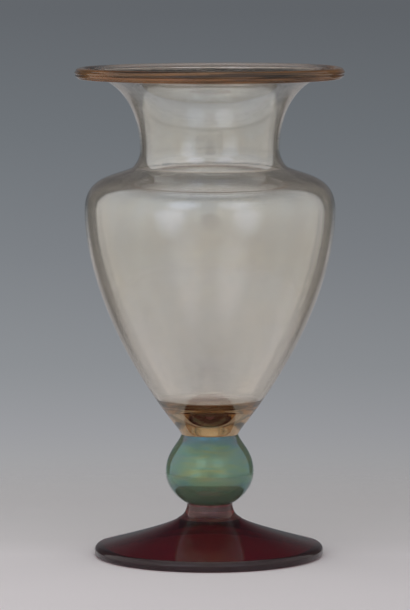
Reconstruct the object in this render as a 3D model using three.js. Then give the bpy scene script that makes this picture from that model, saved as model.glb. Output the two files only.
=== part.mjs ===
import * as THREE from 'three';
import { mergeVertices } from 'three/addons/utils/BufferGeometryUtils.js';

// Amphora vase of hand-blown lustred glass in three colours, standing on a low conical foot.
// Millimetres, +Z up. The origin is the centre of the foot, on the table.
//
// Five pieces of glass are fused hot, each to the one below it:
//   foot         amethyst disc with a thick rounded edge, hollow underneath
//   foot_merese  amethyst collar that carries the knop on the foot
//   knop         hollow green ball, open at both ends
//   bowl         pale amber base, body, shoulder, neck and flared lip
//   lip_wrap     deep amber thread of glass laid round the edge of the lip
// Every joint is a flat or round face that both pieces share, and each piece starts at the
// height where the one below it ends.

// Driving dimensions. Diameters are outside sizes. Heights of a piece's own features are
// measured from the face that the piece sits on.
const vaseHeight = 254;

// Foot
const footDiameter = 119.4;
const footHeight = 19.5;
const footEdgeThickness = 5.6;
const footCornerRadius = 1.2;
const footRestWidth = 5;
const footSeatDiameter = 32.3;
const footHollowHeight = 14.5;
const footSlope = 165;
const pontilDiameter = 21;
const pontilDepth = 1.2;

// Collar between the foot and the knop
const mereseHeight = 7.8;
const mereseTopDiameter = 23.7;

// Knop
const knopDiameter = 45.6;
const knopHeight = 36.1;
const knopBulgeHeight = 16.1;
const knopTopDiameter = 29.4;
const knopWall = 2.6;
const knopUpperBore = 22;
const knopLowerBore = 10;

// Bowl: its base and its solid bottom, up from the knop
const bowlBaseDiameter = 37.2;
const bowlBaseHeight = 5.6;
const bowlBaseSlope = 52;
const bowlBottomThickness = 8.2;
const bowlDishDiameter = 30;
const bowlDishHeight = 14.6;
const bowlDishSlope = 31;
const bowlHeelHeight = 40;

// Bowl: body, shoulder, neck and lip. The neck and shoulder heights go down from the lip.
const bowlDiameter = 130.2;
const neckFootDiameter = 80.4;
const throatDiameter = 72.5;
const lipDiameter = 129.2;
const neckFlareHeight = 39.8;
const neckFootHeight = 8.9;
const shoulderHeight = 22.3;
const bowlWall = 2;

// Thread of glass round the lip
const wrapThickness = 6;
const wrapOverlap = 0.6;

// Seat heights, worked out from the pieces below, and the lip's height above the bowl's seat
const mereseSeat = footHeight;
const knopSeat = mereseSeat + mereseHeight;
const bowlSeat = knopSeat + knopHeight;
const lipHeight = vaseHeight - wrapThickness / 2 - bowlSeat;

// Facets round every piece, the same on all of them so that shared faces match
const facets = 48;

// Outline of a turned piece: radius and height, drawn with the pen and closed by revolving it.
// Headings are in degrees: 0 points away from the axis, 90 up, 180 towards the axis.
function heading(degrees) {
  const angle = THREE.MathUtils.degToRad(degrees);
  return new THREE.Vector2(Math.cos(angle), Math.sin(angle));
}

class Outline {
  constructor(radius, height) {
    this.points = [new THREE.Vector2(radius, height)];
  }

  get end() {
    return this.points[this.points.length - 1];
  }

  lineTo(radius, height) {
    this.points.push(new THREE.Vector2(radius, height));
    return this;
  }

  // A smooth stretch of hot glass: it leaves and arrives on the given headings, and each pull
  // says for what share of the straight distance the glass holds that heading.
  sweepTo(radius, height, leave, leavePull, arrive, arrivePull, steps) {
    const start = this.end;
    const finish = new THREE.Vector2(radius, height);
    const span = start.distanceTo(finish);
    const first = heading(leave).multiplyScalar(leavePull * span).add(start);
    const second = heading(arrive).multiplyScalar(-arrivePull * span).add(finish);
    const curve = new THREE.CubicBezierCurve(start, first, second, finish);
    this.points.push(...curve.getPoints(steps).slice(1));
    return this;
  }

  // Round arc about a centre, from one angle to another
  arcTo(centreRadius, centreHeight, arcRadius, fromAngle, toAngle, steps) {
    for (let step = 0; step <= steps; step += 1) {
      const angle = THREE.MathUtils.lerp(fromAngle, toAngle, step / steps);
      const point = heading(angle).multiplyScalar(arcRadius);
      this.points.push(point.add(new THREE.Vector2(centreRadius, centreHeight)));
    }
    return this;
  }

  append(points) {
    this.points.push(...points.map((point) => point.clone()));
    return this;
  }

  close() {
    return this.lineTo(this.points[0].x, this.points[0].y);
  }
}

// The inner face of a wall of even thickness, from the points of its outer face
function inset(points, wall) {
  return points.map((point, index) => {
    const before = points[Math.max(index - 1, 0)];
    const after = points[Math.min(index + 1, points.length - 1)];
    const along = after.clone().sub(before).normalize();
    const inwards = new THREE.Vector2(-along.y, along.x);
    return inwards.multiplyScalar(wall).add(point);
  });
}

// The points of a line that runs upwards from the given height, starting exactly at that height
function above(points, height) {
  const next = points.findIndex((point) => point.y > height);
  const low = points[next - 1];
  const high = points[next];
  const cut = low.clone().lerp(high, (height - low.y) / (high.y - low.y));
  return [cut, ...points.slice(next)];
}

// Turns an outline about the Z axis. Points that repeat are dropped first.
function turn(name, outline, seatHeight, material) {
  const points = outline.points.filter(
    (point, index, all) => index === 0 || point.distanceTo(all[index - 1]) > 1e-6,
  );
  const geometry = new THREE.LatheGeometry(points, facets);
  geometry.deleteAttribute('normal');
  geometry.deleteAttribute('uv');
  const merged = mergeVertices(geometry, 1e-5);
  merged.rotateX(Math.PI / 2);
  merged.computeVertexNormals();
  const mesh = new THREE.Mesh(merged, material);
  mesh.name = name;
  mesh.position.z = seatHeight;
  return mesh;
}

function glass(color, roughness, metalness) {
  return new THREE.MeshStandardMaterial({ color, roughness, metalness });
}

const amethystGlass = glass(0x4a1622, 0.06, 0.1);
const greenGlass = glass(0x6f8f78, 0.1, 0.2);
const amberGlass = glass(0xc9bda4, 0.08, 0.15);
const deepAmberGlass = glass(0x8a5a34, 0.06, 0.1);

// Foot: a disc that slopes from the collar's seat to a thick edge and is hollow to match
// below, so that the light comes through it evenly. It stands on a narrow flat ring, and has
// a polished dimple where it came off the rod.
function makeFoot() {
  const edgeRadius = footEdgeThickness / 2;
  const edgeCentre = footDiameter / 2 - edgeRadius;
  const cornerCentre = footDiameter / 2 - footCornerRadius;
  const tangent = footSlope - 90;
  const outline = new Outline(0, footHollowHeight + pontilDepth);
  outline.sweepTo(pontilDiameter / 2, footHollowHeight, 0, 0.5, -15, 0.3, 3);
  outline.sweepTo(cornerCentre - footRestWidth, 0, -20, 0.35, -17, 0.25, 5);
  outline.arcTo(cornerCentre, footCornerRadius, footCornerRadius, -90, 0, 3);
  outline.arcTo(edgeCentre, edgeRadius, edgeRadius, 0, tangent, 6);
  outline.sweepTo(footSeatDiameter / 2, footHeight, footSlope, 0.2, 134, 0.125, 8);
  outline.lineTo(0, footHeight);
  return turn('foot', outline, 0, amethystGlass);
}

// Collar: the same curve as the foot's slope, drawn on up to the knop
function makeFootMerese() {
  const outline = new Outline(0, 0);
  outline.lineTo(footSeatDiameter / 2, 0);
  outline.sweepTo(mereseTopDiameter / 2, mereseHeight, 134, 0.03, 90, 0.7, 6);
  outline.lineTo(0, mereseHeight);
  return turn('foot_merese', outline, mereseSeat, amethystGlass);
}

// Knop: a blown ball, a little flatter below its bulge, with an even wall
function makeKnop() {
  const bulge = knopDiameter / 2;
  const outline = new Outline(mereseTopDiameter / 2, 0);
  outline.sweepTo(bulge, knopBulgeHeight, 25, 0.28, 90, 0.37, 7);
  outline.sweepTo(knopTopDiameter / 2, knopHeight, 90, 0.51, 103, 0.22, 8);
  outline.lineTo(knopUpperBore / 2, knopHeight);
  outline.sweepTo(bulge - knopWall, knopBulgeHeight, -77, 0.22, -90, 0.51, 6);
  outline.sweepTo(knopLowerBore / 2, knopWall, -90, 0.37, -155, 0.28, 5);
  outline.lineTo(knopLowerBore / 2, 0);
  outline.close();
  return turn('knop', outline, knopSeat, greenGlass);
}

// Bowl: a narrow base opens into the body, which rises to a high round shoulder, turns in to
// the neck and flares out to a wide flat lip. The wall is even from the lip down to the heel.
// Below the heel it grows thicker, down to a round dish in a solid bottom.
function makeBowl() {
  const crestHeight = lipHeight - neckFlareHeight - neckFootHeight - shoulderHeight;
  const neckSeat = crestHeight + shoulderHeight;
  const throatHeight = neckSeat + neckFootHeight;
  const lip = lipDiameter / 2;
  const lipUnderside = lipHeight - bowlWall / 2;

  const outer = new Outline(knopTopDiameter / 2, 0);
  outer.sweepTo(bowlBaseDiameter / 2, bowlBaseHeight, 66, 0.3, bowlBaseSlope, 0.4, 4);
  outer.sweepTo(bowlDiameter / 2, crestHeight, bowlBaseSlope, 0.39, 90, 0.255, 13);
  outer.sweepTo(neckFootDiameter / 2, neckSeat, 90, 0.54, 155, 0.32, 8);
  outer.sweepTo(throatDiameter / 2, throatHeight, 155, 0.03, 90, 0.51, 4);
  outer.sweepTo(lip, lipUnderside, 90, 0.28, 4, 0.477, 9);

  const inner = above(inset(outer.points, bowlWall), bowlHeelHeight).reverse();
  inner[0].x = lip;
  const heel = inner[inner.length - 1];
  const fall = heel.clone().sub(inner[inner.length - 2]).angle();

  const outline = new Outline(0, 0);
  outline.append(outer.points);
  outline.append(inner);
  const dish = 180 + bowlDishSlope;
  outline.sweepTo(bowlDishDiameter / 2, bowlDishHeight, THREE.MathUtils.radToDeg(fall), 0.5, dish, 0.15, 5);
  outline.sweepTo(0, bowlBottomThickness, dish, 0.35, 180, 0.3, 4);
  return turn('bowl', outline, bowlSeat, amberGlass);
}

// Thread round the lip: a round bead, flat inside where it is fused to the edge of the lip
function makeLipWrap() {
  const beadRadius = wrapThickness / 2;
  const beadCentre = lipDiameter / 2 + beadRadius - wrapOverlap;
  const flatAngle = THREE.MathUtils.radToDeg(Math.acos(1 - wrapOverlap / beadRadius));
  const flatHeight = beadRadius * heading(flatAngle).y;
  const outline = new Outline(lipDiameter / 2, lipHeight - flatHeight);
  outline.arcTo(beadCentre, lipHeight, beadRadius, flatAngle - 180, 180 - flatAngle, 12);
  outline.close();
  return turn('lip_wrap', outline, bowlSeat, deepAmberGlass);
}

const vase = new THREE.Group();
vase.add(makeFoot());
vase.add(makeFootMerese());
vase.add(makeKnop());
vase.add(makeBowl());
vase.add(makeLipWrap());

export default vase;
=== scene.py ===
import math

import bmesh
import bpy
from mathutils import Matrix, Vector


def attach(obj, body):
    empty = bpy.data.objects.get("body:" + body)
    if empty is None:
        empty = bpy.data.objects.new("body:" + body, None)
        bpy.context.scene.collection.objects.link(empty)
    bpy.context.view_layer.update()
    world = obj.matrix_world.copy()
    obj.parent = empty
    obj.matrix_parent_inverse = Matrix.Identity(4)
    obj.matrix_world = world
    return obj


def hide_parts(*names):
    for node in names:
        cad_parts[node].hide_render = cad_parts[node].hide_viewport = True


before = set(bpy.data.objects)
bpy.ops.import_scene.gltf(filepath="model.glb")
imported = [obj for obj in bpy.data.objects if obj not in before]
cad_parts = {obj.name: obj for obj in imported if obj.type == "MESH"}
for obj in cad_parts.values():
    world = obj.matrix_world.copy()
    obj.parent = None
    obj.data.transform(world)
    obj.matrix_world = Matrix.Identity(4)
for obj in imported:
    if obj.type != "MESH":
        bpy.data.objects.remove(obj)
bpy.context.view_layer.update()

MM = 0.001
BODY = "root"

# Sizes of the glass in millimetres, and slopes as headings in degrees. The diameters of the
# pieces are outside sizes, and heights go up from the seat of their piece. All are the solid
# model's, except for four that show only in how the glass bends the light: the knop's lower
# bore, the dish's diameter and slope, and the height of the heel.
FOOT_DIAMETER = 119.4
FOOT_HEIGHT = 19.5
FOOT_EDGE = 5.6
FOOT_CORNER = 1.2
FOOT_REST = 5.0
FOOT_SEAT = 32.3
FOOT_HOLLOW = 14.5
FOOT_SLOPE = 165.0
PONTIL_DIAMETER = 21.0
PONTIL_DEPTH = 1.2
MERESE_HEIGHT = 7.8
MERESE_TOP = 23.7
MERESE_SLOPE = 134.0
KNOP_DIAMETER = 45.6
KNOP_HEIGHT = 36.1
KNOP_BULGE = 16.1
KNOP_TOP = 29.4
KNOP_WALL = 2.6
KNOP_UPPER_BORE = 22.0
KNOP_LOWER_BORE = 17.0
BASE_DIAMETER = 37.2
BASE_HEIGHT = 5.6
BASE_SLOPE = 52.0
BOTTOM_THICKNESS = 8.2
DISH_DIAMETER = 28.0
DISH_HEIGHT = 14.6
DISH_SLOPE = 38.0
HEEL_HEIGHT = 19.0
BOWL_DIAMETER = 130.2
CREST_HEIGHT = 116.6
NECK_FOOT = 80.4
NECK_FOOT_HEIGHT = 138.9
NECK_SLOPE = 155.0
THROAT = 72.5
THROAT_HEIGHT = 147.8
LIP_DIAMETER = 129.2
LIP_HEIGHT = 187.6
BOWL_WALL = 2.0
WRAP_THICKNESS = 6.0
WRAP_OVERLAP = 0.6

# Heights above the table of the knop's seat and of the bowl's, which the lip thread shares
KNOP_SEAT = FOOT_HEIGHT + MERESE_HEIGHT
BOWL_SEAT = KNOP_SEAT + KNOP_HEIGHT

# Creases that winding left along the lip thread: the heading of each one's middle, its half
# width in degrees and its depth in millimetres. Then the steps round the thread's section.
WRAP_CREASES = ((-10, 8, 0.5), (32, 9, 0.2), (-48, 8, 0.3), (75, 10, 0.12))
WRAP_STEPS = 64

# Hand work, in millimetres: how far the glass strays from true, all of it from DRIFT_RADIUS
# out and from DRIFT_RISE up, how far aside the foot is, and how far the lip leans, lower in
# front and higher behind, from LEAN_START up and all of it LEAN_RISE above that
DRIFT = 0.18
DRIFT_RADIUS = 40.0
DRIFT_RISE = 30.0
FOOT_ASIDE = -0.55
LIP_LEAN = 0.6
LEAN_START = 200.0
LEAN_RISE = 50.0

# Facets round a piece, of which the lip thread has more, for its bright ends, and the angle
# in degrees from which an edge stays sharp
ROUND = 256
WRAP_ROUND = 3 * ROUND
SHARP_ANGLE = 30.0

# Air left at each joint, so that no two faces lie in one another
JOINT_GAP = 0.03

# Lengths in millimetres that are too small to see: closer points are one point, a smaller
# radius is on the axis, and the two points at a sharp change of coat are one step apart
SAME_POINT = 1e-5
ON_AXIS = 1e-6
COAT_STEP = 1e-4
KNOP_COAT_STEP = 1e-3

# How much of the lustre a face has
BARE = 0.0
COATED = 1.0
DISH_COAT = 0.4


# Shapes

def heading(degrees):
    """Unit vector in the outline's plane: 0 points away from the axis, 90 up."""
    angle = math.radians(degrees)
    return Vector((math.cos(angle), math.sin(angle)))


class Outline:
    """The half section of a turned piece, as radius and height in millimetres.

    coat is how much of the lustre the faces have that are drawn next.
    """

    def __init__(self, radius, height, coat=BARE):
        self.points = [Vector((radius, height))]
        self.coat = coat
        self.coats = [coat]

    @property
    def end(self):
        return self.points[-1]

    def add(self, point):
        if (point - self.end).length > SAME_POINT:
            self.points.append(point)
            self.coats.append(self.coat)

    def switch(self, coat):
        """Changes the coat here, with a second point close by so that the change is sharp."""
        self.coat = coat
        self.points.append(self.end + Vector((0.0, COAT_STEP)))
        self.coats.append(coat)

    def line_to(self, radius, height, steps=1):
        start, finish = self.end.copy(), Vector((radius, height))
        for step in range(1, steps + 1):
            self.add(start.lerp(finish, step / steps))

    def sweep_to(self, radius, height, leave, leave_pull, arrive, arrive_pull, steps):
        """A smooth stretch of hot glass that leaves and arrives on the given headings.

        Each pull is the share of the straight distance for which the glass holds its heading.
        """
        start, finish = self.end.copy(), Vector((radius, height))
        span = (finish - start).length
        first = start + heading(leave) * leave_pull * span
        second = finish - heading(arrive) * arrive_pull * span
        for step in range(1, steps + 1):
            t = step / steps
            u = 1 - t
            point = start * u**3 + first * 3 * u * u * t + second * 3 * u * t * t + finish * t**3
            self.add(point)

    def arc_to(self, centre_radius, centre_height, radius, start_angle, end_angle, steps):
        centre = Vector((centre_radius, centre_height))
        for step in range(steps + 1):
            angle = start_angle + (end_angle - start_angle) * step / steps
            self.add(centre + heading(angle) * radius)

    def append(self, points):
        for point in points:
            self.add(point.copy())

    def close(self):
        self.points.append(self.points[0].copy())
        self.coats.append(self.coats[0])


def inset(points, wall):
    """The inner face of a wall of even thickness, from the points of its outer face."""
    inner = []
    for index, point in enumerate(points):
        before = points[max(index - 1, 0)]
        after = points[min(index + 1, len(points) - 1)]
        along = (after - before).normalized()
        inner.append(point + Vector((-along.y, along.x)) * wall)
    return inner


def hand_worked(angle, radius, height):
    """Where hand work leaves a point of a true ring, in millimetres.

    The drift is a few slow waves round the glass that turn as they rise, each with a phase of
    its own.
    """
    share = min(1.0, radius / DRIFT_RADIUS)
    rise = min(1.0, max(0.0, height / DRIFT_RISE))
    wave = math.sin(2 * angle + 0.9 + height / 70) + 0.5 * math.sin(3 * angle - 0.4 - height / 35)
    tilt = math.sin(angle + 2.1) + 0.6 * math.sin(2 * angle + 0.3)
    radius += DRIFT * share * rise * wave
    height += DRIFT * share * rise * rise * tilt
    aside = FOOT_ASIDE * max(0.0, 1 - height / KNOP_SEAT) ** 1.5
    lean = min(1.0, max(0.0, (height - LEAN_START) / LEAN_RISE)) ** 2
    height += LIP_LEAN * math.sin(angle) * lean
    return Vector((radius * math.cos(angle) + aside, radius * math.sin(angle), height))


def placed(name, data):
    """A new object in the scene."""
    made = bpy.data.objects.new(name, data)
    bpy.context.scene.collection.objects.link(made)
    return made


def turn(name, outline, seat, glass, around=ROUND):
    """Revolves an outline about Z into a closed, smooth piece of glass.

    Each point becomes a ring of corners, or a single corner on the axis, and its coat goes
    along as a value that the material reads.
    """
    closed = outline.points[0] == outline.points[-1]
    points = outline.points[:-1] if closed else outline.points
    build = bmesh.new()
    lustre = build.verts.layers.float.new("coat")
    rings = []
    for point, coat in zip(points, outline.coats):
        ring = []
        for index in range(1 if point.x < ON_AXIS else around):
            angle = 2 * math.pi * index / around
            corner = build.verts.new(hand_worked(angle, point.x, seat + point.y) * MM)
            corner[lustre] = coat
            ring.append(corner)
        rings.append(ring)
    if closed:
        rings.append(rings[0])
    for lower, upper in zip(rings, rings[1:]):
        for index in range(around):
            follow = (index + 1) % around
            corners = [lower[index % len(lower)], lower[follow % len(lower)]]
            corners += [upper[follow % len(upper)], upper[index % len(upper)]]
            build.faces.new(list(dict.fromkeys(corners))).smooth = True
    mesh = bpy.data.meshes.new(name)
    build.to_mesh(mesh)
    build.free()
    mesh.set_sharp_from_angle(angle=math.radians(SHARP_ANGLE))
    mesh.materials.append(glass)
    return placed(name, mesh)


# Materials

GLASS_IOR = 1.5

# Marks that tools leave in the glass: their height in metres, how fine each kind is round a
# piece and along its height, and how strong the slow waves are
MARK_HEIGHT = 0.0002
RING_SCALE = (9, 620)
WAVE_SCALE = (14, 110)
CORD_SCALE = (160, 22)
WAVE_STRENGTH = 1.6

# How much finer the lustre's clouds, and the lip thread's painted dark bands, are than the swirls
# of its film
CLOUD_FINENESS = 1.6

# Smears on the surface: their scale, the cloud value that they start at, and their roughness
SMEAR_SCALE = {"Across": 70.0, "Up": 95.0}
SMEAR_START = 0.55
SMEAR_ROUGHNESS = 0.04

# Metres behind the axis at which a piece has the whole of its back tint, a pale tint painted on
# the far side, standing in for the light reflected there
PAINTED_BACK_DEPTH = 0.05

# How far the absorption's density lies above the greatest loss, so that no colour reaches zero
DENSITY_MARGIN = 1.05


class Wiring:
    """Adds shader nodes to a tree and links them."""

    def __init__(self, tree):
        self.tree = tree

    def link(self, source, target):
        self.tree.links.new(source, target)

    def feed(self, socket, value):
        """Sets a socket to a plain value, or links it where the value is a node's output."""
        if isinstance(value, bpy.types.NodeSocket):
            self.link(value, socket)
        else:
            socket.default_value = value

    def node(self, kind, values=None, **settings):
        made = self.tree.nodes.new(kind)
        for key, value in settings.items():
            setattr(made, key, value)
        for key, value in (values or {}).items():
            self.feed(made.inputs[key], value)
        return made

    def group(self, tree, **values):
        """A shared group with values of its own."""
        return self.node("ShaderNodeGroup", values, node_tree=tree).outputs[0]

    def math(self, operation, *inputs):
        made = self.node("ShaderNodeMath", dict(enumerate(inputs)), operation=operation)
        return made.outputs[0]

    def map_range(self, value, low, high, to_low, to_high, kind="SMOOTHSTEP"):
        made = self.node("ShaderNodeMapRange", {
            "Value": value, "From Min": low, "From Max": high, "To Min": to_low,
            "To Max": to_high}, interpolation_type=kind)
        return made.outputs[0]

    def mix(self, factor, low, high, blend="MIX"):
        """Mixes two colours, which are the node's sockets 6 and 7."""
        made = self.node("ShaderNodeMix", {0: factor, 6: low, 7: high}, data_type="RGBA",
                         blend_type=blend)
        return made.outputs[2]

    def noise(self, place, detail, roughness, distortion=0.0, scale=1.0):
        made = self.node("ShaderNodeTexNoise", {
            "Vector": place, "Scale": scale, "Detail": detail, "Roughness": roughness,
            "Distortion": distortion})
        return made.outputs[0]

    def stretched(self, place, across, up):
        """Coordinates with their own scale round the piece and along its height."""
        made = self.node("ShaderNodeVectorMath", {0: place, 1: (across, across, up)},
                         operation="MULTIPLY")
        return made.outputs[0]


def cleared(tree, output):
    """The wiring of an emptied tree, and its new output node."""
    tree.nodes.clear()
    wiring = Wiring(tree)
    return wiring, wiring.node(output)


def new_material(name):
    material = bpy.data.materials.new(name)
    material.use_nodes = True
    wiring, output = cleared(material.node_tree, "ShaderNodeOutputMaterial")
    return material, wiring, output


def shared_group(name, inputs, output):
    """A node group that several materials use, with named inputs and one named output."""
    group = bpy.data.node_groups.new(name, "ShaderNodeTree")
    for label, value in inputs.items():
        socket = group.interface.new_socket(label, in_out="INPUT", socket_type="NodeSocketFloat")
        socket.default_value = value
    group.interface.new_socket(output, in_out="OUTPUT", socket_type="NodeSocketFloat")
    wiring = Wiring(group)
    source = wiring.node("NodeGroupInput").outputs
    result = wiring.node("NodeGroupOutput").inputs[0]
    return group, wiring, source, result


def make_tool_marks():
    """Height of the marks that turning the hot glass leaves: fine rings, slow waves and cords."""
    group, wiring, source, result = shared_group("tool_marks", {"Cords": 1.0}, "Height")
    place = wiring.node("ShaderNodeTexCoord").outputs["Object"]
    rings = wiring.noise(wiring.stretched(place, *RING_SCALE), 3.0, 0.6)
    waves = wiring.noise(wiring.stretched(place, *WAVE_SCALE), 2.0, 0.5)
    cords = wiring.noise(wiring.stretched(place, *CORD_SCALE), 2.0, 0.5, 0.6)
    lines = wiring.math("ADD", rings, wiring.math("MULTIPLY", cords, source["Cords"]))
    swell = wiring.math("MULTIPLY", waves, WAVE_STRENGTH)
    wiring.link(wiring.math("ADD", lines, swell), result)
    return group


def make_clouds():
    """Soft mottling of the lustre and of the lip thread's painted dark bands, from 0 to 1, with a
    finer grain in it.
    """
    scales = {"Across": 40.0, "Up": 40.0}
    group, wiring, source, result = shared_group("lustre_and_painted_band_clouds", scales, "Cloud")
    place = wiring.node("ShaderNodeTexCoord").outputs["Object"]
    across, up = source["Across"], source["Up"]
    scale = wiring.node("ShaderNodeCombineXYZ", {0: across, 1: across, 2: up}).outputs[0]
    scaled = wiring.node("ShaderNodeVectorMath", {0: place, 1: scale}, operation="MULTIPLY")
    broad = wiring.noise(scaled.outputs[0], 4.0, 0.55, 0.8)
    wiring.link(wiring.map_range(broad, 0.3, 0.7, 0.0, 1.0), result)
    return group


class Glass:
    """What one colour of glass is like.

    kept is the share of white light left after a pass of the given thickness in millimetres.
    warm and cool are the tints of the lustre's clouds, which on the lip thread, that has no
    lustre, paint dark bands of shade; the back tint is a pale tint painted on the far side,
    standing in for the light reflected there; and inside is the tint of the faces without
    lustre.
    film is the lustre's thickness in nanometres at the lower and the upper of film_heights,
    which are metres above the table, and film_range how far it varies. film_across, film_up
    and film_twist are the scales and the twist of its swirls.
    bump is the strength of the tool marks, and cords how much of them are cords.
    clear is the share of the glass that isn't milky.
    """

    def __init__(self, name, kept, thickness, warm, cool, film=(0.0, 0.0),
                 film_heights=(0.0, 1.0), film_range=0.0, film_ior=1.9, film_across=25.0,
                 film_up=25.0, film_twist=1.0, painted_back_tint=None, inside=None, cords=1.0,
                 bump=0.1, clear=1.0):
        self.name = name
        self.kept = kept
        self.thickness = thickness
        self.warm = warm
        self.cool = cool
        self.film = film
        self.film_heights = film_heights
        self.film_range = film_range
        self.film_ior = film_ior
        self.film_across = film_across
        self.film_up = film_up
        self.film_twist = film_twist
        self.painted_back_tint = painted_back_tint
        self.inside = inside
        self.cords = cords
        self.bump = bump
        self.clear = clear


def lustre_and_painted_tint(wiring, glass, clouds, coat, depth):
    """The glass's colour over the surface, mottled by the lustre's clouds, which paint dark bands
    of shade on the lip thread, and painted pale behind the axis where there is a back tint.
    """
    across, up = glass.film_across * CLOUD_FINENESS, glass.film_up * CLOUD_FINENESS
    cloud = wiring.group(clouds, Across=across, Up=up)
    tint = wiring.mix(cloud, (*glass.cool, 1.0), (*glass.warm, 1.0))
    # Painted light: behind the axis the tint turns to the back tint, a pale far side standing in
    # for the light reflected there
    if glass.painted_back_tint:
        back = wiring.map_range(depth, 0.0, PAINTED_BACK_DEPTH, 0.0, 1.0)
        tint = wiring.mix(back, tint, (*glass.painted_back_tint, 1.0))
    if glass.inside:
        tint = wiring.mix(coat, (*glass.inside, 1.0), tint)
    return tint


def lustre_film(wiring, glass, place, coat, height):
    """The thickness of the lustre's film over the surface, in nanometres."""
    stretched = wiring.stretched(place, glass.film_across, glass.film_up)
    swirls = wiring.math("SUBTRACT", wiring.noise(stretched, 3.0, 0.5, glass.film_twist), 0.5)
    spread = wiring.math("MULTIPLY", swirls, 2 * glass.film_range)
    by_height = wiring.map_range(height, *glass.film_heights, *glass.film, "LINEAR")
    return wiring.math("MULTIPLY", wiring.math("ADD", spread, by_height), coat)


def glass_material(glass, marks, clouds):
    material, wiring, output = new_material(glass.name)
    place = wiring.node("ShaderNodeTexCoord").outputs["Object"]
    depth, height = wiring.node("ShaderNodeSeparateXYZ", {0: place}).outputs[1:]
    coat = wiring.node("ShaderNodeAttribute", attribute_name="coat").outputs["Fac"]
    smears = wiring.group(clouds, **SMEAR_SCALE)
    bump = wiring.node("ShaderNodeBump", {
        "Height": wiring.group(marks, Cords=glass.cords), "Strength": glass.bump,
        "Distance": MARK_HEIGHT})
    shader = wiring.node("ShaderNodeBsdfPrincipled", {
        "Base Color": lustre_and_painted_tint(wiring, glass, clouds, coat, depth),
        "Roughness": wiring.map_range(smears, SMEAR_START, 1.0, 0.0, SMEAR_ROUGHNESS),
        "Transmission Weight": glass.clear,
        "IOR": GLASS_IOR,
        "Thin Film Thickness": lustre_film(wiring, glass, place, coat, height),
        "Thin Film IOR": glass.film_ior,
        "Normal": bump.outputs[0],
    })
    wiring.link(shader.outputs[0], output.inputs["Surface"])
    losses = [-math.log(share) / (glass.thickness * MM) for share in glass.kept]
    density = max(losses) * DENSITY_MARGIN
    absorption = wiring.node("ShaderNodeVolumeAbsorption", {
        "Color": (*(1 - loss / density for loss in losses), 1.0),
        "Density": density,
    })
    wiring.link(absorption.outputs[0], output.inputs["Volume"])
    return material


AMBER = Glass(
    "amber_lustre_glass", kept=(0.957, 0.937, 0.905), thickness=BOWL_WALL,
    warm=(1.0, 0.99, 0.97), cool=(1.0, 1.0, 1.0),
    film=(90, 72), film_heights=(0.07, 0.19), film_range=24, film_ior=1.87,
    film_across=20, film_up=26, film_twist=1.6, cords=1.6, bump=0.14)
# The lip thread has no lustre. Its clouds are painted shade: dark bands, near black against the
# thread's own brown, standing in for the dark lines the round thread bends into view. Its far
# side is painted pale grey, standing in for the light reflected there.
DEEP_AMBER = Glass(
    "deep_amber_glass", kept=(0.84, 0.66, 0.46), thickness=BOWL_WALL,
    warm=(0.01, 0.005, 0.003), cool=(0.75, 0.40, 0.16), painted_back_tint=(0.66, 0.72, 0.76),
    film_across=9, film_up=260, bump=0.05, clear=0.73)
GREEN = Glass(
    "green_lustre_glass", kept=(0.60, 0.68, 0.60), thickness=KNOP_WALL,
    warm=(0.66, 0.75, 0.47), cool=(0.46, 0.77, 0.50), inside=(0.60, 0.36, 0.36),
    film=(222, 186), film_heights=(0.0575, 0.0618), film_range=44, film_ior=1.79,
    film_across=32, film_up=190, film_twist=2.0, bump=0.18, clear=0.82)

# The foot, the collar, and a pale pink disc on top of the collar under the knop's bore, a
# painted glint that stands in for the light seen there
AMETHYST_KEPT = (0.50, 0.12, 0.17)
AMETHYST_PASS = 10.0
AMETHYST = Glass(
    "amethyst_glass", kept=AMETHYST_KEPT, thickness=AMETHYST_PASS,
    warm=(0.72, 0.24, 0.32), cool=(0.66, 0.20, 0.32), clear=0.975)
COLLAR = Glass(
    "amethyst_collar_glass", kept=AMETHYST_KEPT, thickness=AMETHYST_PASS,
    warm=(0.82, 0.40, 0.32), cool=(0.56, 0.19, 0.26),
    film_across=60, film_up=160, bump=0.3, clear=0.91)
# A painted glint: a pale pink, nearly opaque disc that stands in for the light seen through the
# knop's bore
PAINTED_GLINT = Glass(
    "amethyst_painted_glint_glass", kept=AMETHYST_KEPT, thickness=AMETHYST_PASS,
    warm=(0.98, 0.46, 0.72), cool=(0.90, 0.40, 0.66), clear=0.1)
GLASSES = (AMBER, DEEP_AMBER, GREEN, AMETHYST, COLLAR, PAINTED_GLINT)


# Pieces

def make_foot(glass):
    """A low cone with a thick rounded edge, hollow below, with the rod's polished dimple."""
    edge = FOOT_EDGE / 2
    edge_centre = FOOT_DIAMETER / 2 - edge
    corner_centre = FOOT_DIAMETER / 2 - FOOT_CORNER
    top = FOOT_HEIGHT - JOINT_GAP
    outline = Outline(0, FOOT_HOLLOW + PONTIL_DEPTH)
    outline.sweep_to(PONTIL_DIAMETER / 2, FOOT_HOLLOW, 0, 0.5, -15, 0.3, 12)
    outline.sweep_to(corner_centre - FOOT_REST, 0, -20, 0.35, -17, 0.25, 50)
    outline.arc_to(corner_centre, FOOT_CORNER, FOOT_CORNER, -90, 0, 10)
    outline.coat = COATED
    outline.arc_to(edge_centre, edge, edge, 0, FOOT_SLOPE - 90, 30)
    outline.sweep_to(FOOT_SEAT / 2, top, FOOT_SLOPE, 0.2, MERESE_SLOPE, 0.125, 60)
    outline.switch(BARE)
    outline.line_to(0, top)
    return turn("foot_glass", outline, 0, glass)


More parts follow.
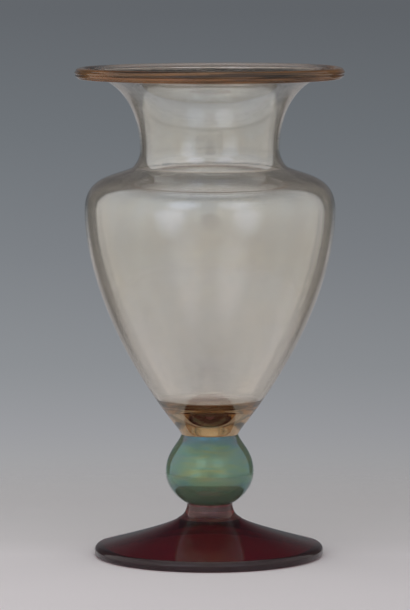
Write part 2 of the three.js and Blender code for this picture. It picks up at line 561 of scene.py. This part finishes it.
def make_foot_merese(glass, painted_glint):
    """The foot's curve drawn on up to the knop. The last ring of faces on top, under the knop's
    bore, is a painted glint.
    """
    top = MERESE_HEIGHT - JOINT_GAP
    outline = Outline(0, 0)
    outline.line_to(FOOT_SEAT / 2, 0)
    outline.switch(COATED)
    outline.sweep_to(MERESE_TOP / 2, top, MERESE_SLOPE, 0.03, 90, 0.7, 24)
    outline.switch(BARE)
    outline.line_to(KNOP_LOWER_BORE / 2, top)
    outline.line_to(0, top)
    collar = turn("foot_merese_glass", outline, FOOT_HEIGHT, glass)
    collar.data.materials.append(painted_glint)
    for face in collar.data.polygons[-ROUND:]:
        face.material_index = 1
    return collar


def make_knop(glass):
    """A blown ball, a little flatter below its bulge, with an even wall and open ends."""
    bulge = KNOP_DIAMETER / 2
    bore = KNOP_LOWER_BORE / 2
    top = KNOP_HEIGHT - JOINT_GAP
    outline = Outline(MERESE_TOP / 2, 0, coat=COATED)
    outline.sweep_to(bulge, KNOP_BULGE, 25, 0.28, 90, 0.37, 40)
    outline.sweep_to(KNOP_TOP / 2, top, 90, 0.51, 103, 0.22, 40)
    outline.switch(BARE)
    outline.line_to(KNOP_UPPER_BORE / 2, top)
    outline.sweep_to(bulge - KNOP_WALL, KNOP_BULGE, -77, 0.22, -90, 0.51, 40)
    outline.sweep_to(bore, KNOP_WALL, -90, 0.37, -155, 0.28, 40)
    outline.line_to(bore, 0, steps=3)
    outline.line_to(MERESE_TOP / 2 - KNOP_COAT_STEP, 0)
    outline.close()
    return turn("knop_glass", outline, KNOP_SEAT, glass)


def make_bowl(glass):
    """Base, body, shoulder, neck and lip, with an even wall down to the heel.

    Below the heel the wall grows thicker, down to a round dish in the solid bottom.
    """
    lip = LIP_DIAMETER / 2
    body = Outline(KNOP_TOP / 2, 0)
    body.sweep_to(BASE_DIAMETER / 2, BASE_HEIGHT, 66, 0.3, BASE_SLOPE, 0.4, 20)
    body.sweep_to(BOWL_DIAMETER / 2, CREST_HEIGHT, BASE_SLOPE, 0.39, 90, 0.255, 140)
    body.sweep_to(NECK_FOOT / 2, NECK_FOOT_HEIGHT, 90, 0.54, NECK_SLOPE, 0.32, 60)
    body.sweep_to(THROAT / 2, THROAT_HEIGHT, NECK_SLOPE, 0.03, 90, 0.51, 24)
    body.sweep_to(lip, LIP_HEIGHT - BOWL_WALL / 2, 90, 0.28, 4, 0.477, 60)
    inner = [point for point in inset(body.points, BOWL_WALL) if point.y > HEEL_HEIGHT]
    inner.reverse()
    inner[0].x = lip
    run = inner[-1] - inner[-2]
    fall = math.degrees(math.atan2(run.y, run.x))
    dish = 180 + DISH_SLOPE
    outline = Outline(0, 0)
    outline.line_to(KNOP_TOP / 2, 0)
    outline.switch(COATED)
    outline.append(body.points[1:])
    outline.append(inner)
    outline.sweep_to(DISH_DIAMETER / 2, DISH_HEIGHT, fall, 0.4, dish, 0.2, 60)
    outline.coat = DISH_COAT
    outline.sweep_to(0, BOTTOM_THICKNESS, dish, 0.35, 180, 0.3, 40)
    return turn("bowl_glass", outline, BOWL_SEAT, glass)


def make_lip_wrap(glass):
    """A round, creased bead, flat inside where it is fused to the edge of the lip."""
    bead = WRAP_THICKNESS / 2
    centre = Vector((LIP_DIAMETER / 2 + bead - WRAP_OVERLAP, LIP_HEIGHT))
    flat = math.degrees(math.acos(1 - (WRAP_OVERLAP + JOINT_GAP) / bead))
    start = centre + heading(flat - 180) * bead
    outline = Outline(start.x, start.y)
    for step in range(WRAP_STEPS + 1):
        angle = (2 * step / WRAP_STEPS - 1) * (180 - flat)
        crease = sum(
            depth * math.exp(-((angle - middle) / width) ** 2)
            for middle, width, depth in WRAP_CREASES)
        outline.add(centre + heading(angle) * (bead - crease))
    outline.close()
    return turn("lip_wrap_glass", outline, BOWL_SEAT, glass, WRAP_ROUND)


# Setting

# The photograph's view: where the camera stands in metres, how many degrees it is tipped
# down, and its focal length in pixels of the photograph, which is FRAME_HEIGHT pixels high
CAMERA_PLACE = (-0.0025, -1.926, 0.3101)
CAMERA_TIP = 5.32
FOCAL_LENGTH = 3726
FRAME_HEIGHT = 610
SENSOR = 36.0


def srgb(red, green, blue):
    """A colour as it looks on screen, 0 to 255, as Blender's linear values."""
    linear = []
    for channel in (red, green, blue):
        value = channel / 255
        linear.append(value / 12.92 if value <= 0.04045 else ((value + 0.055) / 1.055) ** 2.4)
    return (*linear, 1.0)


# The backdrop's colour by the rise of the line of sight, which is its share of Z, and the
# span of rises that the colours lie in. A fade is where a colour starts to dim, where it
# ends, and the share of the colour left there; the backdrop dims to the right, and the paper
# is painted darker to the right, as painted shade.
BACKDROP_SPAN = (-0.5, 0.6)
BACKDROP_FADE = (-0.06, 0.06, 0.91)
BACKDROP = (
    (-0.5, srgb(150, 149, 151)), (-0.3, srgb(170, 168, 170)), (-0.170, srgb(203, 200, 202)),
    (-0.163, srgb(197, 194, 196)), (-0.154, srgb(183, 181, 182)), (-0.1448, srgb(172, 170, 171)),
    (-0.1352, srgb(163, 163, 165)), (-0.1258, srgb(155, 156, 160)), (-0.11, srgb(142, 145, 149)),
    (-0.078, srgb(125, 129, 134)), (-0.046, srgb(111, 116, 121)), (-0.014, srgb(99, 103, 108)),
    (0.06, srgb(104, 105, 108)), (0.12, srgb(114, 113, 115)), (0.25, srgb(92, 91, 93)),
    (0.5, srgb(52, 54, 57)))

# The paper floor: its radius, how far it lies below the foot and the distances that it ends
# over, in metres, its grain, and its colour from the front to the back, which darkens towards
# the back as painted shade, standing in for the light falling off
FLOOR_RADIUS = 0.7
FLOOR_DROP = 0.0001
FLOOR_END = (0.14, 0.42)
GRAIN_SCALE = 900.0
GRAIN_SHARE = 0.04
GRAIN_COLOUR = (0.5, 0.5, 0.5, 1.0)
PAPER_SPAN = (-0.2, 0.4)
PAPER_PAINTED_DIMMING = (-0.1, 0.1, 0.94)
PAPER_WITH_PAINTED_FALLOFF = (
    (-0.15, srgb(241, 237, 239)), (0.0, srgb(242, 239, 241)), (0.052, srgb(228, 226, 227)),
    (0.117, srgb(217, 216, 217)), (0.187, srgb(208, 207, 208)), (0.34, srgb(195, 195, 196)))

# The tent of white cloth in front, by the rise of a ray: the floor before it, its walls, its
# top and the ceiling light. It dims towards its ends and to the right.
TENT_SPAN = (-0.6, 1.0)
TENT = (
    (-0.6, (0.62, 0.57, 0.52, 1.0)), (-0.3, (0.62, 0.57, 0.52, 1.0)),
    (0.0, (0.88, 0.83, 0.79, 1.0)), (0.6, (0.92, 0.90, 0.90, 1.0)),
    (0.84, (0.55, 0.54, 0.54, 1.0)), (0.96, (1.15, 1.13, 1.13, 1.0)))
TENT_END_FADE = (-0.6, 0.4, 0.88)
TENT_RIGHT_FADE = (-0.2, 0.9, 0.80)

# Lamps behind the cloth, each with its azimuth from the front and its elevation in degrees and
# its strength, and the gap in the cloth for the camera. A spread is the radius that is even
# and the radius that the edge ends at, in degrees.
LAMPS = ((-38, 0, 0.5), (34, 0, 0.42), (-27, 29, 0.6), (25, 29, 0.5))
LAMP_SPREAD = (4, 19)
LAMP_COLOUR = (0.58, 0.64, 0.86, 1.0)
GAP = (0, -3)
GAP_SPREAD = (4, 12)
GAP_DEPTH = 0.42
GAP_COLOUR = (0.12, 0.12, 0.12, 1.0)

# The dark room behind the tent, and the grey sweep of paper under the backdrop. The ends are
# by how far back a ray points, from -1 to 1, and the other edges by its rise.
ROOM = (0.10, 0.095, 0.09, 1.0)
ROOM_ENDS = (0.84, 0.93)
ROOM_FLOOR = (-0.60, -0.35)
SWEEP = srgb(148, 147, 149)
SWEEP_EDGE = (-0.19, -0.13)
TENT_ENDS = (0.60, 0.66)
TENT_ROOF = (0.72, 0.90)

# How often light is followed through the glass and off it
GLASS_BOUNCES = 24
GLOSS_BOUNCES = 12


def make_camera():
    """The photograph's view: a long lens a little above the lip, tipped down five degrees."""
    data = bpy.data.cameras.new("camera")
    data.sensor_width = SENSOR
    data.lens = SENSOR * FOCAL_LENGTH / FRAME_HEIGHT
    camera = placed("camera", data)
    camera.location = CAMERA_PLACE
    camera.rotation_euler = (math.radians(90 - CAMERA_TIP), 0.0, 0.0)
    bpy.context.scene.camera = camera


def colour_ramp(wiring, value, low, high, stops):
    """Colour by value: each stop is a value and its colour."""
    place = wiring.map_range(value, low, high, 0.0, 1.0, "LINEAR")
    made = wiring.node("ShaderNodeValToRGB", {0: place})
    elements = made.color_ramp.elements
    while len(elements) < len(stops):
        elements.new(0.5)
    for element, (stop, colour) in zip(elements, stops):
        element.position = (stop - low) / (high - low)
        element.color = colour
    return made.outputs[0]


def dimmed(wiring, colour, value, low, high, share, kind="SMOOTHSTEP"):
    """A colour that dims to a share of itself while a value goes from low to high."""
    scale = wiring.map_range(value, low, high, 1.0, share, kind)
    made = wiring.node("ShaderNodeVectorMath", {0: colour, "Scale": scale}, operation="SCALE")
    return made.outputs[0]


def patch(wiring, direction, azimuth, elevation, inner, outer):
    """1 inside a soft round patch of the sky, 0 outside it."""
    side, lift = math.radians(azimuth), math.radians(elevation)
    centre = (math.sin(side) * math.cos(lift), -math.cos(side) * math.cos(lift), math.sin(lift))
    near = wiring.node("ShaderNodeVectorMath", {0: direction, 1: centre}, operation="DOT_PRODUCT")
    edge, full = math.cos(math.radians(outer)), math.cos(math.radians(inner))
    return wiring.map_range(near.outputs["Value"], edge, full, 0.0, 1.0)


def tent_cloth(wiring, direction, x, z, behind):
    """The white tent, with four lamps behind its cloth and the gap for the camera."""
    cloth = colour_ramp(wiring, z, *TENT_SPAN, TENT)
    for azimuth, elevation, strength in LAMPS:
        glow = patch(wiring, direction, azimuth, elevation, *LAMP_SPREAD)
        cloth = wiring.mix(wiring.math("MULTIPLY", glow, strength), cloth, LAMP_COLOUR, "ADD")
    gap = patch(wiring, direction, *GAP, *GAP_SPREAD)
    cloth = wiring.mix(wiring.math("MULTIPLY", gap, GAP_DEPTH), cloth, GAP_COLOUR)
    cloth = dimmed(wiring, cloth, behind, *TENT_END_FADE)
    return dimmed(wiring, cloth, x, *TENT_RIGHT_FADE)


def make_world():
    """Grey backdrop that lightens towards the floor, in a dark room with a white tent in front.

    The camera sees only the backdrop. Light and the glass meet all three.
    """
    world = bpy.data.worlds.new("studio")
    bpy.context.scene.world = world
    world.use_nodes = True
    wiring, output = cleared(world.node_tree, "ShaderNodeOutputWorld")
    direction = wiring.node("ShaderNodeTexCoord").outputs["Generated"]
    x, y, z = wiring.node("ShaderNodeSeparateXYZ", {0: direction}).outputs
    squares = wiring.math("ADD", wiring.math("MULTIPLY", x, x), wiring.math("MULTIPLY", y, y))
    flat = wiring.math("MAXIMUM", wiring.math("SQRT", squares), 0.001)
    behind = wiring.math("DIVIDE", y, flat)

    backdrop = colour_ramp(wiring, z, *BACKDROP_SPAN, BACKDROP)
    backdrop = dimmed(wiring, backdrop, x, *BACKDROP_FADE, "LINEAR")
    swept = wiring.mix(wiring.map_range(z, *SWEEP_EDGE, 1.0, 0.0), backdrop, SWEEP)
    off_floor = wiring.map_range(z, *ROOM_FLOOR, 0.0, 1.0)
    beside = wiring.map_range(behind, *ROOM_ENDS, 1.0, 0.0)
    room = wiring.mix(wiring.math("MULTIPLY", off_floor, beside), swept, ROOM)

    in_front = wiring.map_range(behind, *TENT_ENDS, 1.0, 0.0)
    overhead = wiring.map_range(z, *TENT_ROOF, 0.0, 1.0)
    cloth = tent_cloth(wiring, direction, x, z, behind)
    around = wiring.mix(wiring.math("MAXIMUM", in_front, overhead), room, cloth)
    seen = wiring.node("ShaderNodeLightPath").outputs["Is Camera Ray"]
    background = wiring.node("ShaderNodeBackground", {
        "Color": wiring.mix(seen, around, backdrop), "Strength": 1.0})
    wiring.link(background.outputs[0], output.inputs[0])


def make_floor():
    """A round sheet of pale paper that fades out, so that it runs into the backdrop."""
    mesh = bpy.data.meshes.new("floor")
    build = bmesh.new()
    bmesh.ops.create_circle(build, cap_ends=True, radius=FLOOR_RADIUS, segments=128)
    build.to_mesh(mesh)
    build.free()
    floor = placed("floor", mesh)
    floor.location.z = -FLOOR_DROP
    material, wiring, output = new_material("floor_paper")
    place = wiring.node("ShaderNodeTexCoord").outputs["Object"]
    far = wiring.node("ShaderNodeVectorMath", {0: place}, operation="LENGTH").outputs["Value"]
    across, depth = wiring.node("ShaderNodeSeparateXYZ", {0: place}).outputs[:2]
    # Painted shade: the paper's colour darkens towards the back and to the right, standing in for
    # the light falling off
    paper = colour_ramp(wiring, depth, *PAPER_SPAN, PAPER_WITH_PAINTED_FALLOFF)
    paper = dimmed(wiring, paper, across, *PAPER_PAINTED_DIMMING, "LINEAR")
    grain = wiring.noise(place, 3.0, 0.5, scale=GRAIN_SCALE)
    specks = wiring.map_range(grain, 0.35, 0.65, 0.0, GRAIN_SHARE)
    shader = wiring.node("ShaderNodeBsdfPrincipled", {
        "Base Color": wiring.mix(specks, paper, GRAIN_COLOUR),
        "Roughness": 0.8,
        "Alpha": wiring.map_range(far, *FLOOR_END, 1.0, 0.0),
    })
    wiring.link(shader.outputs[0], output.inputs[0])
    mesh.materials.append(material)


def main():
    scene = bpy.context.scene
    scene.view_settings.view_transform = "Standard"
    scene.cycles.max_bounces = GLASS_BOUNCES
    scene.cycles.transmission_bounces = GLASS_BOUNCES
    scene.cycles.glossy_bounces = GLOSS_BOUNCES
    make_camera()
    make_world()
    make_floor()
    marks = make_tool_marks()
    clouds = make_clouds()
    amber, deep_amber, green, amethyst, collar, painted_glint = (
        glass_material(glass, marks, clouds) for glass in GLASSES)
    pieces = (
        (make_foot(amethyst), "foot", "amethyst_glass"),
        (make_foot_merese(collar, painted_glint), "foot_merese", "amethyst_glass"),
        (make_knop(green), "knop", "green_glass"),
        (make_bowl(amber), "bowl", "amber_glass"),
        (make_lip_wrap(deep_amber), "lip_wrap", "deep_amber_glass"),
    )
    for piece, node, slot in pieces:
        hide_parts(node)
        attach(piece, BODY)


main()
